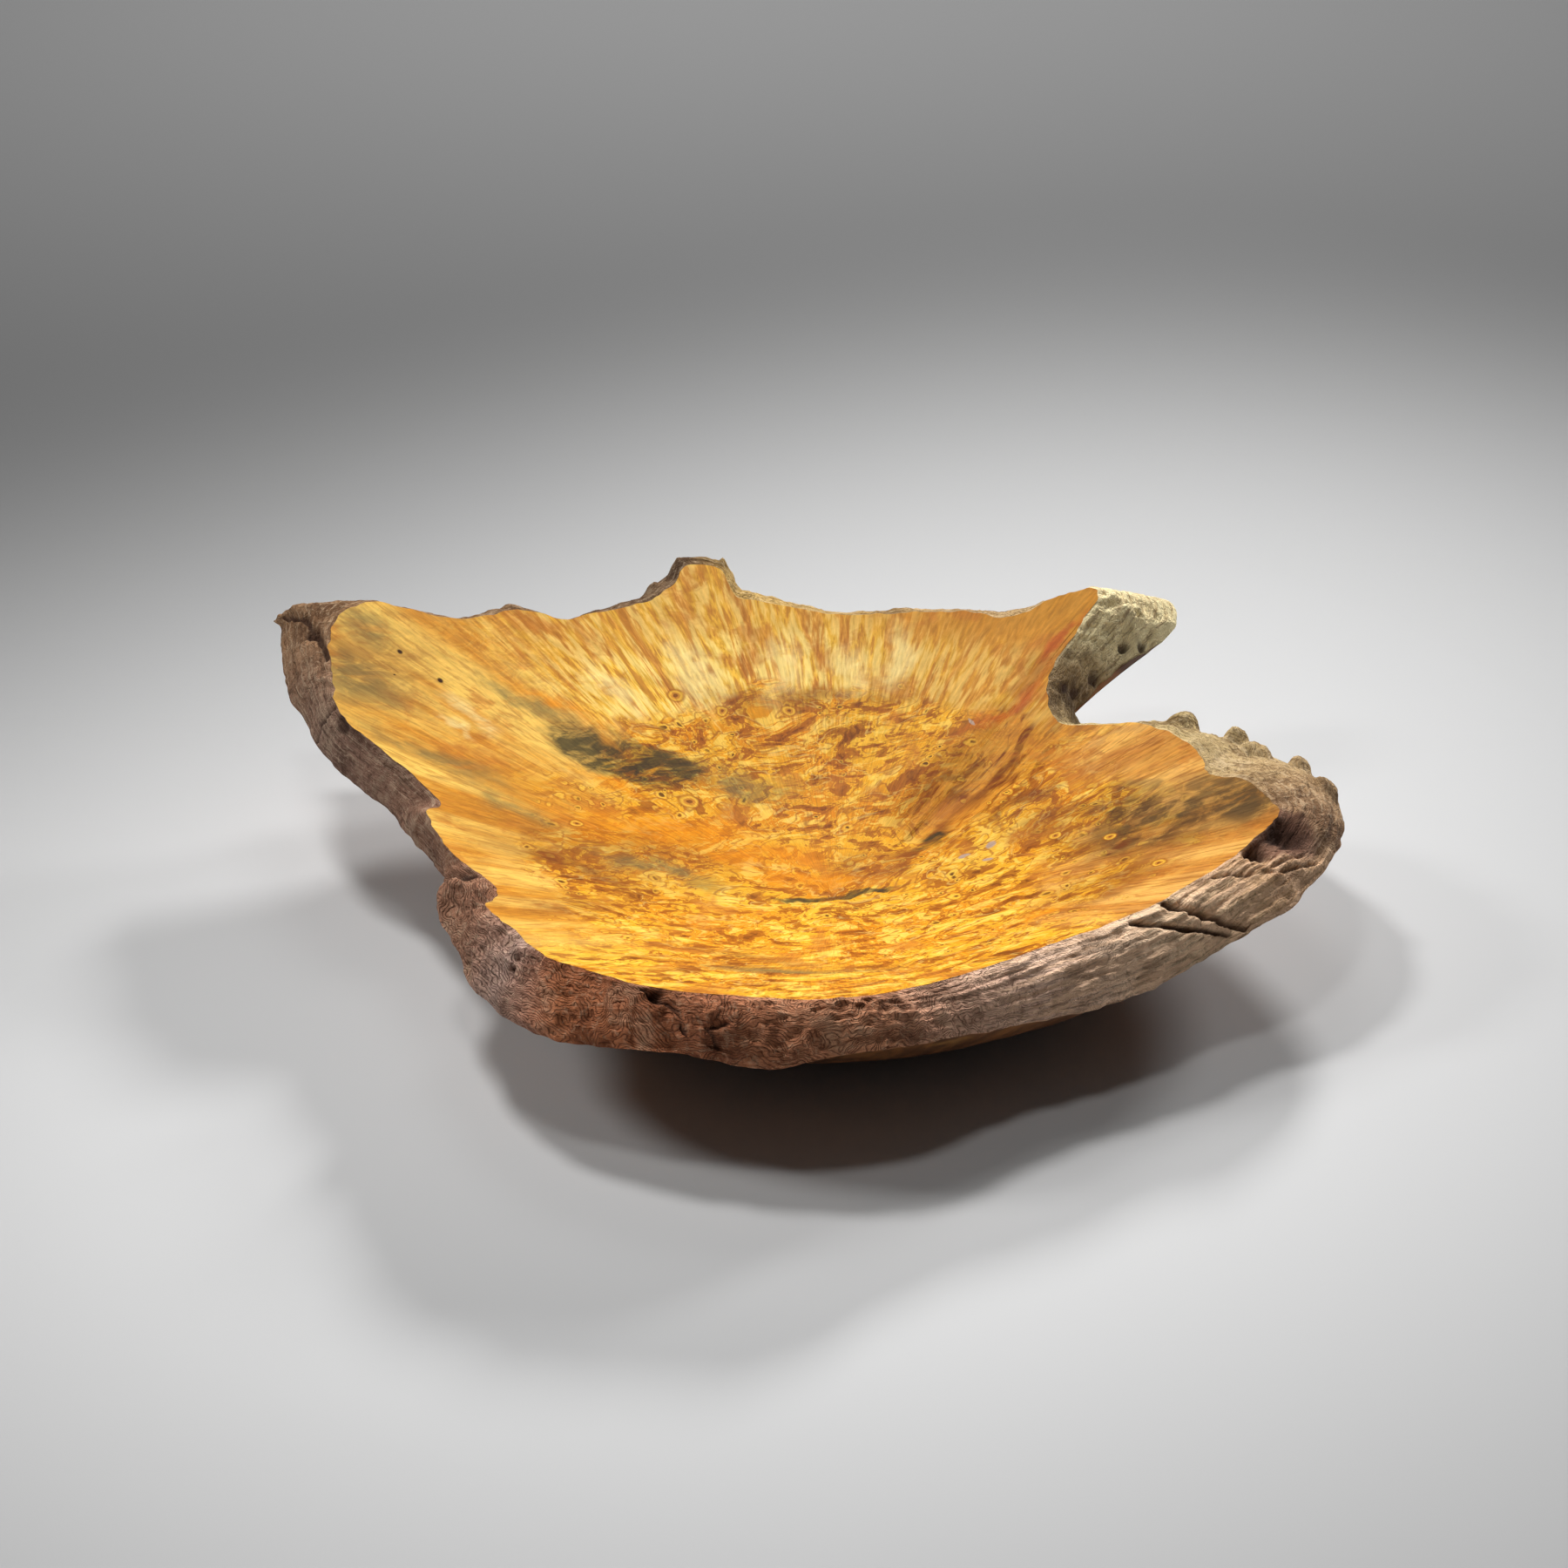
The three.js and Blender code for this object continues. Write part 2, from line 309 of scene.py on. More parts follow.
def skin_rows():
    """The displaced skin, as rows of points, and how much painted shade darkens each point in its hollows
    and cracks.
    """
    points, outward, across = skin_base()
    flat = points.reshape(-1, 3)
    width = np.linalg.norm(OUTER - inside_row(1.0), axis=1)
    depth_across = (across[:, None] * width).reshape(-1)

    def over_rim(weight):
        return np.tile(weight, len(across))

    def marked(station, share):
        column = np.argmin(np.abs(PLACES - station))
        return points[np.argmin(np.abs(across - share)), column]

    # Long furrows follow the rim: the noise is stretched along it and fine across it.
    stretched = np.column_stack((flat[:, :2] / FURROW_LENGTH, depth_across / FURROW_WIDTH))
    furrows = wavy(stretched, 1.0, 1, 4)
    lumps = wavy(flat, 32 * MM, 2)
    folds = 1 - 2 * np.abs(wavy(flat + 4 * MM * lumps[:, None], 13 * MM, 3, 4))
    grit = wavy(flat, 3.5 * MM, 4, 2)

    furrowed = over_rim(np.maximum(stretch_of_rim(60.5, 68.8, 2), 0.5 * stretch_of_rim(36, 40, 1)))
    folded = over_rim(np.maximum(stretch_of_rim(49, 60, 1.5), stretch_of_rim(8.5, 14, 1)))
    height = MM * ((2.0 + 1.8 * folded) * lumps + (0.6 + 1.5 * folded) * folds
                   + (0.4 + 1.0 * furrowed) * furrows + 0.4 * grit)
    # The bark stands proud round the back knob and lies flat on the horn and by the notch.
    flat_parts = np.maximum(stretch_of_rim(14, 17, 0.8), stretch_of_rim(6.5, 9, 0.8))
    swell = np.sin(np.pi * across)[:, None] * (
        KNOB_BARK * stretch_of_rim(24.3, 27.6, 0.6) - FLATTENING * flat_parts)
    height += swell.reshape(-1)

    for station, share, tall, radius in TEETH:
        away = np.linalg.norm(flat - marked(station, share), axis=1) / (radius * MM)
        height += tall * MM * np.clip(1 - away ** 3, 0, 1)
    # Painted shade: the hollows and the cracks are darkened, the cracks by their depth.
    painted_shade = np.zeros(len(flat))
    for station, share, deep, radius in HOLLOWS:
        away = np.linalg.norm(flat - marked(station, share), axis=1) / (radius * MM)
        hollow = np.exp(-away ** 2 * 1.5)
        height -= deep * MM * hollow
        painted_shade = np.maximum(painted_shade, hollow)
    for deep, half_width, path in CRACKS:
        line = [marked(*place) for place in path]
        away = distance_to_path(flat + 1.5 * MM * lumps[:, None], line) / (half_width * MM)
        crack = np.exp(-away ** 2)
        height -= deep * MM * crack
        painted_shade = np.maximum(painted_shade, min(1, deep / FULL_SHADE_DEPTH) * crack)

    # The skin stays fixed at both of its edges.
    ease = smooth_step(across, 0, 0.10) * smooth_step(1 - across, 0, 0.08)
    height = height.reshape(len(across), -1) * ease[:, None]
    return points + height[..., None] * outward, painted_shade


# ---- one closed mesh from rows -----------------------------------------------

def bowl_mesh():
    """The whole bowl: inside, skin and outside as rows, closed by the two middles."""
    shares_in = np.arange(1, INSIDE_ROWS + 1) / INSIDE_ROWS
    shares_out = np.arange(OUTSIDE_ROWS, -1, -1) / OUTSIDE_ROWS
    rows = [inside_row(share) for share in shares_in]
    skin, skin_painted_shade = skin_rows()
    rows += list(skin)
    rows += [outside_row(share) for share in shares_out]
    rows = np.array(rows)
    last_row = len(rows) - 1
    first_skin = INSIDE_ROWS - 1
    last_skin = INSIDE_ROWS + SKIN_ROWS - 1

    grid = rows.reshape(-1, 3)
    inside_centre, foot_centre = len(grid), len(grid) + 1
    vertices = np.vstack((grid, (0, 0, BOTTOM_THICKNESS), (0, 0, 0)))

    column = np.arange(AROUND)
    beside = (column + 1) % AROUND
    faces, kinds = [], []
    for row in range(last_row):
        upper, lower = row * AROUND, (row + 1) * AROUND
        faces += np.column_stack((upper + column, lower + column, lower + beside, upper + beside)).tolist()
        kinds += [INSIDE if row < first_skin else SKIN if row < last_skin else OUTSIDE] * AROUND
    bottom = last_row * AROUND
    faces += [(inside_centre, step, (step + 1) % AROUND) for step in range(AROUND)]
    faces += [(foot_centre, bottom + (step + 1) % AROUND, bottom + step) for step in range(AROUND)]
    kinds += [INSIDE] * AROUND + [OUTSIDE] * AROUND

    mesh = bpy.data.meshes.new("burl_bowl")
    mesh.from_pydata(vertices.tolist(), [], faces)
    mesh.polygons.foreach_set("material_index", kinds)
    mesh.polygons.foreach_set("use_smooth", [True] * len(faces))
    mark_edges(mesh, (first_skin, last_skin, last_row))
    add_rim_map(mesh, last_row)
    # The skin's painted shade in its hollows and cracks goes to the material as a point attribute.
    painted_shade = np.zeros(len(vertices))
    painted_shade[INSIDE_ROWS * AROUND:][:len(skin_painted_shade)] = skin_painted_shade
    mesh.attributes.new("painted_shade", "FLOAT", "POINT").data.foreach_set("value", painted_shade)
    mesh.validate()
    return mesh


def mark_edges(mesh, sharp_rows):
    """Crisp lines where the skin meets the turned faces, and round the foot."""
    ends = np.empty(2 * len(mesh.edges), dtype=int)
    mesh.edges.foreach_get("vertices", ends)
    row_of = ends.reshape(-1, 2) // AROUND
    same_row = row_of[:, 0] == row_of[:, 1]
    sharp = same_row & np.isin(row_of[:, 0], sharp_rows)
    layer = mesh.attributes.new("sharp_edge", "BOOLEAN", "EDGE")
    layer.data.foreach_set("value", sharp)


def add_rim_map(mesh, last_row):
    """Rim: u runs once round the rim, v runs across the skin.  OFBake: flat islands for each face."""
    corners = np.empty(len(mesh.loops), dtype=int)
    mesh.loops.foreach_get("vertex_index", corners)
    corner_counts = [len(polygon.vertices) for polygon in mesh.polygons]
    face_of = np.repeat(np.arange(len(corner_counts)), corner_counts)
    kinds = np.empty(len(mesh.polygons), dtype=int)
    mesh.polygons.foreach_get("material_index", kinds)
    kind = kinds[face_of]

    on_grid = corners < AROUND * (last_row + 1)
    column = np.where(on_grid, corners % AROUND, 0)
    row = corners // AROUND
    # The last column of faces wraps round, so its far corners count as one whole turn.
    face_column = face_of % AROUND
    column = np.where(on_grid & (face_column == AROUND - 1) & (column == 0), AROUND, column)
    around = column / AROUND
    across = np.clip((row - INSIDE_ROWS + 1) / SKIN_ROWS, 0, 1)
    rim = mesh.uv_layers.new(name="Rim")
    rim.data.foreach_set("uv", np.column_stack((around, across)).ravel())

    positions = np.empty(3 * len(mesh.vertices))
    mesh.vertices.foreach_get("co", positions)
    xy = positions.reshape(-1, 3)[corners, :2]
    disc = 0.01 + 0.48 * (xy + 0.26) / 0.52
    disc[:, 1] += 0.5
    disc[:, 0] += np.where(kind == OUTSIDE, 0.5, 0)
    quarter = np.minimum(face_column * 4 // AROUND, 3)
    strip = np.column_stack((0.01 + 0.98 * (4 * around - quarter), 0.01 + 0.12 * quarter + 0.11 * across))
    bake = mesh.uv_layers.new(name="OFBake")
    bake.data.foreach_set("uv", np.where((kind == SKIN)[:, None], strip, disc).ravel())


# ---- materials ---------------------------------------------------------------

def colour(red, green, blue):
    """A colour given as 0 to 255 on screen, as the shader's linear values."""
    values = [value / 255 for value in (red, green, blue)]
    linear = [v / 12.92 if v <= 0.04045 else ((v + 0.055) / 1.055) ** 2.4 for v in values]
    return (*linear, 1.0)


class Paint:
    """One material's node tree.  Any input takes a plain value or another node's output."""

    def __init__(self, name):
        self.material = bpy.data.materials.new(name)
        self.material.use_nodes = True
        self.tree = self.material.node_tree
        self.shader = self.tree.nodes["Principled BSDF"]
        self.place = self.tree.nodes.new("ShaderNodeTexCoord").outputs["Object"]

    def put(self, socket, value):
        if isinstance(value, bpy.types.NodeSocket):
            self.tree.links.new(value, socket)
        else:
            socket.default_value = value

    def node(self, kind, settings, inputs, output=0):
        made = self.tree.nodes.new(kind)
        for name, value in settings.items():
            setattr(made, name, value)
        for name, value in inputs.items():
            self.put(made.inputs[name], value)
        return made.outputs[output]

    def math(self, operation, first, second):
        return self.node("ShaderNodeMath", {"operation": operation}, {0: first, 1: second})

    def times(self, first, second):
        return self.math("MULTIPLY", first, second)

    def plus(self, first, second):
        return self.math("ADD", first, second)

    def minus(self, first, second):
        return self.math("SUBTRACT", first, second)

    def move(self, operation, first, second):
        return self.node("ShaderNodeVectorMath", {"operation": operation}, {0: first, 1: second})

    def mix(self, share, low, high, blend="MIX"):
        settings = {"data_type": "RGBA", "blend_type": blend}
        return self.node("ShaderNodeMix", settings, {0: share, 6: low, 7: high}, 2)

    def ease(self, value, low, high):
        """0 up to low, 1 from high on, smooth between; low may be the larger of the two."""
        settings = {"interpolation_type": "SMOOTHSTEP"}
        if low > high:
            return self.minus(1.0, self.ease(value, high, low))
        return self.node("ShaderNodeMapRange", settings, {"Value": value, "From Min": low, "From Max": high})

    def tint(self, tone, shade, value, low, high, strength):
        """The tone, turned towards the shade by up to this much as the value goes from low to high."""
        return self.mix(self.times(self.ease(value, low, high), strength), tone, shade)

    def noise(self, where, scale, detail=3.0, roughness=0.55, distortion=0.0, output="Fac"):
        inputs = {"Vector": where, "Scale": scale, "Detail": detail,
                  "Roughness": roughness, "Distortion": distortion}
        return self.node("ShaderNodeTexNoise", {}, inputs, output)

    def cells(self, where, scale, output="Distance"):
        return self.node("ShaderNodeTexVoronoi", {}, {"Vector": where, "Scale": scale}, output)

    def vector(self, x, y, z):
        return self.node("ShaderNodeCombineXYZ", {}, {0: x, 1: y, 2: z})

    def split(self, where):
        made = self.tree.nodes.new("ShaderNodeSeparateXYZ")
        self.put(made.inputs[0], where)
        return made.outputs

    def length(self, where):
        return self.node("ShaderNodeVectorMath", {"operation": "LENGTH"}, {0: where}, "Value")

    def combed(self, where, turn, stretch):
        """The place turned by so many degrees, then stretched, so that noise lies in streaks."""
        inputs = {"Vector": where, "Rotation": (0, 0, math.radians(turn)), "Scale": (stretch, 1.0, 1.0)}
        return self.node("ShaderNodeMapping", {"vector_type": "TEXTURE"}, inputs)

    def warped(self, where, scale, amount):
        """The place moved about by noise of this scale, up to about this far."""
        push = self.noise(where, scale, 2.0, output="Color")
        push = self.move("SUBTRACT", push, (0.5, 0.5, 0.5))
        return self.move("ADD", where, self.move("MULTIPLY", push, (2 * amount,) * 3))

    def bump(self, height, distance, strength=1.0):
        inputs = {"Height": height, "Distance": distance, "Strength": strength}
        return self.node("ShaderNodeBump", {}, inputs)


def away_from(paint, where, x, y, length, width, turn):
    """Distance from x, y (millimetres) in units of an oval turned by so many degrees."""
    inputs = {"Vector": where, "Location": (x * MM, y * MM, 0), "Rotation": (0, 0, math.radians(turn)),
              "Scale": (length * MM, width * MM, 1.0)}
    return paint.length(paint.node("ShaderNodeMapping", {"vector_type": "TEXTURE"}, inputs))


def inside_any(paint, where, ovals, soft):
    """1 inside any of the ovals, fading to 0 outside."""
    nearest = away_from(paint, where, *ovals[0])
    for oval in ovals[1:]:
        nearest = paint.math("MINIMUM", nearest, away_from(paint, where, *oval))
    return paint.ease(nearest, 1 + soft, 1 - soft)


# Stains in the inside, and painted shade on the right lobe: colour, strength and softness, then for each
# oval x, y, half length, half width and turn.
STAINS_AND_SHADE = [
    (colour(144, 84, 32), 0.6, 0.8, [
        (-112, -4, 40, 20, -8), (-78, 22, 40, 12, 5), (-108, -60, 30, 10, 50), (-200, 100, 22, 24, 50),
        (88, 34, 14, 8, 20), (116, -30, 38, 16, 40), (-190, 110, 24, 16, 50), (-20, 134, 50, 5, -3),
        (22, 26, 24, 8, 15), (-20, -108, 40, 7, 3), (-37, -88, 30, 5, -10)]),
    # Painted shade: this dark brown group darkens the right lobe's middle and tip.
    (colour(86, 56, 30), 0.95, 0.7, [
        (138, 8, 36, 20, -8), (166, 6, 22, 24, 0), (124, 26, 20, 10, -20), (119, 0, 7, 5, 0)]),
    (colour(234, 142, 8), 0.7, 0.7, [
        (-72, 36, 36, 9, 10), (-27, 30, 24, 8, 0), (-7, 15, 20, 6, 5), (-110, 103, 26, 4, -35),
        (-90, 62, 18, 6, -20), (84, -51, 10, 5, 20)]),
    (colour(122, 62, 26), 0.75, 0.6, [
        (64, 74, 20, 4, 45), (80, 52, 14, 4, 30), (40, 44, 18, 5, 60),
        (-107, -14, 18, 6, -8), (119, 0, 5, 3, 0)]),
    (colour(124, 110, 66), 0.7, 0.8, [
        (-203, 88, 16, 20, 60), (-128, 106, 22, 5, -35), (-165, 47, 28, 6, -15), (-200, 130, 10, 10, 0),
        (-132, 25, 18, 6, -30), (-69, 4, 24, 8, -8), (-40, 79, 20, 8, -20), (-20, -111, 30, 4, 3)]),
    (colour(52, 50, 34), 0.9, 0.3, [
        (-104, 83, 20, 10, -20), (-73, 86, 22, 10, -22), (-88, 80, 24, 10, -20), (40, 39, 9, 6, 60),
        (1, 1, 28, 3, 12)]),
    (colour(100, 80, 48), 0.6, 0.8, [
        (160, 24, 24, 10, -30), (168, 6, 12, 16, 0), (143, 10, 18, 7, -10), (130, 40, 12, 4, -30)]),
    (colour(190, 74, 20), 0.7, 0.6, [(73, 121, 20, 3, 48), (104, 158, 16, 3, 56)]),
    (colour(254, 226, 150), 0.7, 0.7, [
        (-152, 88, 14, 4, -40), (-160, 78, 10, 3, -45), (-60, 148, 20, 8, -60), (-20, 152, 16, 8, 80),
        (10, 150, 16, 7, 85), (-95, 128, 16, 6, -45), (30, 156, 14, 6, 80)]),
]
# Pale inclusions: x, y, half length, half width, turn.
INCLUSIONS = [
    (55, 21, 3.0, 1.1, 10), (66, 26, 1.6, 2.8, -20), (64, 15.5, 2.2, 1.2, 0), (61, 112, 0.9, 2.6, 30),
]
# Single eyes: x, y, radius.
EYES = [
    (-60, 61, 5.0), (-47, 123, 3.0), (-18, 126, 3.4), (-67, 129, 4.0), (131, -29, 3.4), (114, 9, 3.0),
    (92, 22, 3.0), (-106, 25, 3.0),
]
# Worm holes: x, y, half length, half width, turn.
HOLES = [(-185, 118, 1.1, 1.5, 20), (-167, 105, 1.2, 1.7, 20), (-186, 100, 0.5, 0.5, 0)]
# The dark fibres and painted shade in the crease: x, y, half length, half width, turn.
CREASE_OVALS = [(86, 108, 62, 24, 52), (60, 72, 36, 22, 45)]
# Where the direction from the middle is read for noise that runs out in streaks.
STREAK_RADIUS = 0.15


def add_eyes(paint, tone, place, crowd, scale, least):
    """Bird's eyes of one size: a dark pip in a pale ring, with a thin brown line round it."""
    distance = paint.cells(place, scale)
    pick = paint.split(paint.cells(place, scale, "Color"))[0]
    chosen = paint.times(crowd, paint.ease(pick, least, least + 0.05))
    line = paint.minus(paint.ease(distance, 0.42, 0.36), paint.ease(distance, 0.32, 0.26))
    tone = paint.mix(paint.times(paint.times(line, chosen), 0.5), tone, BROWN)
    ring = paint.times(paint.ease(distance, 0.30, 0.24), chosen)
    tone = paint.mix(paint.times(ring, 0.55), tone, PALE_GOLD)
    pip = paint.times(paint.ease(distance, 0.18, 0.10), chosen)
    return paint.mix(paint.times(pip, 0.9), tone, PIP_BROWN)


CREAM, PALE_GOLD = colour(255, 220, 124), colour(250, 194, 66)
GOLD, AMBER = colour(236, 168, 34), colour(220, 134, 14)
TAN, HONEY, BROWN = colour(226, 158, 66), colour(196, 120, 42), colour(160, 86, 22)
DARK_BROWN, PIP_BROWN = colour(118, 58, 14), colour(84, 36, 10)


def round_the_middle(paint, x, y, squeeze):
    """Flat place, radius and direction, and a place whose noise runs out from the middle."""
    flat = paint.vector(x, y, 0.0)
    radius = paint.length(flat)
    direction = paint.node("ShaderNodeVectorMath", {"operation": "NORMALIZE"}, {0: flat})
    dx, dy, _ = paint.split(direction)
    streaked = paint.vector(paint.times(dx, STREAK_RADIUS), paint.times(dy, STREAK_RADIUS),
                            paint.times(radius, squeeze))
    return flat, radius, (dx, dy), streaked


def wall_shares(paint, reach, direction):
    """How far a place belongs to the wall at the back, at the left and at the right."""
    dx, dy = direction
    on_wall = paint.ease(reach, 0.105, 0.135)
    high_wall = paint.ease(reach, 0.124, 0.140)
    return (paint.times(paint.ease(dy, 0.62, 0.82), high_wall),
            paint.times(paint.ease(dx, -0.55, -0.80), on_wall),
            paint.times(paint.ease(dx, 0.66, 0.88), on_wall))


def wall_figures(paint, x, radius, flamed, wide, narrow):
    """Crisp flames for the back, long soft streaks for the left, tan figure for the right."""
    flames = paint.mix(paint.ease(wide, 0.42, 0.54), TAN, PALE_GOLD)
    flames = paint.tint(flames, CREAM, narrow, 0.46, 0.58, 0.9)
    flames = paint.tint(flames, HONEY, narrow, 0.46, 0.38, 0.7)
    flames = paint.tint(flames, BROWN, wide, 0.40, 0.34, 0.6)
    near_rim = paint.times(paint.ease(radius, 0.166, 0.186), 0.4)
    to_the_right = paint.times(paint.ease(x, -0.02, 0.07), 0.55)
    flames = paint.mix(paint.plus(near_rim, to_the_right), flames, colour(206, 138, 40))
    mild = paint.noise(flamed, 40.0, 3.0)
    streaks = paint.mix(paint.ease(mild, 0.40, 0.60), colour(212, 142, 46), colour(248, 202, 100))
    streaks = paint.tint(streaks, HONEY, narrow, 0.46, 0.38, 0.35)
    figure = paint.mix(paint.ease(mild, 0.40, 0.56), colour(208, 140, 62), colour(244, 184, 96))
    figure = paint.tint(figure, BROWN, narrow, 0.47, 0.38, 0.5)
    return flames, streaks, figure


def middle_figure(paint, curled, clouds, flakes):
    """Flakes with pale outlines on soft amber clouds, with dark waves and pale veins."""
    tone = paint.mix(paint.ease(clouds, 0.40, 0.58), AMBER, GOLD)
    tone = paint.tint(tone, PALE_GOLD, clouds, 0.56, 0.66, 0.6)
    tone = paint.tint(tone, BROWN, flakes, 0.48, 0.44, 0.8)
    tone = paint.tint(tone, DARK_BROWN, flakes, 0.41, 0.35, 0.8)
    outline = paint.minus(paint.ease(flakes, 0.455, 0.475), paint.ease(flakes, 0.485, 0.505))
    tone = paint.mix(paint.times(outline, 0.5), tone, PALE_GOLD)
    tone = paint.tint(tone, colour(255, 208, 90), flakes, 0.54, 0.58, 0.8)
    waves = paint.math("PINGPONG", paint.times(paint.noise(curled, 42.0, 3.0), 12.0), 0.5)
    tone = paint.tint(tone, BROWN, waves, 0.16, 0.03, 0.65)
    veins = paint.math("PINGPONG", paint.times(paint.noise(curled, 24.0, 4.0), 7.0), 0.5)
    return paint.tint(tone, CREAM, veins, 0.05, 0.01, 0.35)


def add_crease_fibres_and_shade(paint, tone, flat):
    """Dark fibres that run down the crease from the notch, which also paint the shade in the crease."""
    fibres = paint.noise(paint.combed(paint.warped(flat, 40.0, 0.006), 52, 7.0), 190.0, 4.0, 0.6)
    creased = inside_any(paint, flat, CREASE_OVALS, 0.5)
    fibred = paint.mix(paint.ease(fibres, 0.42, 0.54), colour(124, 58, 14), colour(212, 140, 46))
    return paint.mix(paint.times(creased, 0.8), tone, fibred)


def add_clustered_eyes(paint, tone, flat, reach):
    """Bird's eyes of two sizes, in clusters away from the outer wall."""
    eyed = paint.warped(paint.warped(flat, 70.0, 0.004), 240.0, 0.0016)
    crowd = paint.ease(paint.noise(flat, 30.0, 2.0), 0.46, 0.56)
    crowd = paint.times(crowd, paint.ease(reach, 0.15, 0.12))
    for scale, least in ((115.0, 0.45), (190.0, 0.60)):
        tone = add_eyes(paint, tone, eyed, crowd, scale, least)
    return tone


def add_stains_and_shade(paint, tone, flat, curled):
    """Stains, and painted shade on the right lobe, with ragged edges and streaks in them."""
    ragged = paint.warped(paint.warped(flat, 30.0, 0.014), 130.0, 0.004)
    speckle = paint.ease(paint.noise(curled, 90.0, 5.0, 0.7), 0.36, 0.56)
    speckle = paint.plus(0.4, paint.times(speckle, 0.6))
    for patch_colour, strength, soft, ovals in STAINS_AND_SHADE:
        share = paint.times(inside_any(paint, ragged, ovals, soft), speckle)
        tone = paint.mix(paint.times(share, strength), tone, patch_colour)
    return tone


def add_single_marks(paint, tone, flat):
    """The large single eyes as nested rings, the pale inclusions and the worm holes."""
    nearly = paint.warped(flat, 150.0, 0.0016)
    for share, shade in ((1.0, BROWN), (0.78, PALE_GOLD), (0.5, HONEY), (0.25, DARK_BROWN)):
        ovals = [(eye_x, eye_y, share * size, share * size, 0) for eye_x, eye_y, size in EYES]
        tone = paint.mix(paint.times(inside_any(paint, nearly, ovals, 0.2), 0.8), tone, shade)
    tone = paint.mix(inside_any(paint, nearly, INCLUSIONS, 0.25), tone, colour(190, 160, 140))
    return paint.mix(inside_any(paint, flat, HOLES, 0.4), tone, colour(60, 32, 12))


def inside_paint():
    """The turned inside: figured walls round a flaked middle, with eyes, stains, marks and painted shade on
    the right lobe and in the crease.
    """
    paint = Paint("figured_inside")
    x, y, _ = paint.split(paint.place)
    flat, radius, direction, streaked = round_the_middle(paint, x, y, 0.14)
    flamed = paint.warped(paint.warped(streaked, 30.0, 0.006), 130.0, 0.0012)
    wide = paint.noise(flamed, 170.0, 3.0)
    narrow = paint.noise(flamed, 400.0, 4.0)
    # The border between wall and middle wanders in and out.
    wander = paint.times(paint.minus(paint.noise(flat, 16.0, 3.0), 0.5), 0.16)
    reach = paint.plus(radius, wander)
    at_back, at_left, at_right = wall_shares(paint, reach, direction)
    flames, streaks, figure = wall_figures(paint, x, radius, flamed, wide, narrow)

    curled = paint.warped(paint.warped(paint.combed(flat, 28, 1.7), 26.0, 0.012), 80.0, 0.006)
    clouds = paint.noise(curled, 34.0, 4.0, 0.6)
    flakes = paint.noise(curled, 120.0, 5.0, 0.65)
    tone = middle_figure(paint, curled, clouds, flakes)
    tone = add_crease_fibres_and_shade(paint, tone, flat)
    tone = paint.mix(paint.times(at_left, 0.85), tone, streaks)
    tone = paint.mix(at_back, tone, flames)
    tone = paint.mix(paint.times(at_right, 0.85), tone, figure)
    mottle = paint.noise(paint.warped(flat, 20.0, 0.02), 26.0, 5.0, 0.65)
    tone = paint.tint(tone, HONEY, mottle, 0.47, 0.37, 0.65)
    tone = add_clustered_eyes(paint, tone, flat, reach)
    tone = add_stains_and_shade(paint, tone, flat, curled)
    tone = add_single_marks(paint, tone, flat)

    grain = paint.plus(0.43, paint.times(paint.noise(flamed, 800.0, 3.0), 0.90))
    tone = paint.node("ShaderNodeVectorMath", {"operation": "SCALE"}, {0: tone, "Scale": grain})
    paint.put(paint.shader.inputs["Base Color"], tone)
    paint.put(paint.shader.inputs["Roughness"], paint.plus(0.38, paint.times(clouds, 0.16)))
    paint.shader.inputs["Specular IOR Level"].default_value = 0.18
    ripple = paint.plus(paint.times(wide, 0.6), paint.times(flakes, 0.5))
    paint.put(paint.shader.inputs["Normal"], paint.bump(ripple, 0.0010, 0.5))
    return paint.material


def rim_share(station):
    """Share of the way round the rim at a station."""
    return float(np.interp(station, PLACES, np.arange(AROUND) / AROUND))


# The skin's colour along the rim: station and colour.
RIM_COLOURS = [
    (0, (170, 132, 98)), (2, (190, 158, 112)), (5, (200, 174, 122)), (8, (200, 176, 124)),
    (10, (132, 106, 72)), (11, (178, 150, 106)), (12.5, (252, 232, 180)), (14.3, (236, 210, 156)),
    (16, (196, 164, 116)), (20, (176, 142, 96)), (24.5, (206, 170, 100)), (26, (128, 100, 74)),
    (34, (150, 114, 78)),
    (38, (166, 126, 92)), (41, (148, 114, 96)), (46, (146, 104, 80)), (50, (176, 126, 98)),
    (52.5, (190, 156, 140)), (54, (200, 124, 80)), (56, (180, 108, 70)), (60, (206, 142, 104)),
    (62.5, (255, 214, 188)), (65, (255, 222, 182)), (67, (232, 186, 140)), (69, (170, 132, 98)),
]
# The knot hole's place, where its painted shade is centred.
KNOT_HOLE = (178 * MM, -27 * MM, 70 * MM)


def along_rim(paint, u, first, last, soft):
    """1 from the first station to the last, easing to 0 over this many stations on both sides."""
    risen = paint.ease(u, rim_share(first - soft), rim_share(first))
    fallen = paint.ease(u, rim_share(last), rim_share(last + soft))
    return paint.minus(risen, fallen)


def base_along_rim(paint, u):
    """The main colour of the skin, which changes along the rim."""
    ramp = paint.tree.nodes.new("ShaderNodeValToRGB")
    paint.put(ramp.inputs[0], u)
    stops = ramp.color_ramp.elements
    stops.remove(stops[1])
    stops[0].color = colour(*RIM_COLOURS[0][1])
    for station, shade in RIM_COLOURS[1:]:
        stops.new(rim_share(station)).color = colour(*shade)
    return ramp.outputs[0]


def add_pale_stretches(paint, tone, u, fibres):
    """The horn is bleached, and the right of the front is paler than the rest."""
    bleached = paint.times(along_rim(paint, u, 12.4, 15, 1), paint.ease(fibres, 0.40, 0.54))
    tone = paint.mix(paint.times(bleached, 0.75), tone, colour(255, 238, 186))
    pinkish = paint.times(along_rim(paint, u, 62.5, 67.5, 1.5), paint.ease(fibres, 0.43, 0.56))
    return paint.mix(paint.times(pinkish, 0.7), tone, colour(244, 200, 162))


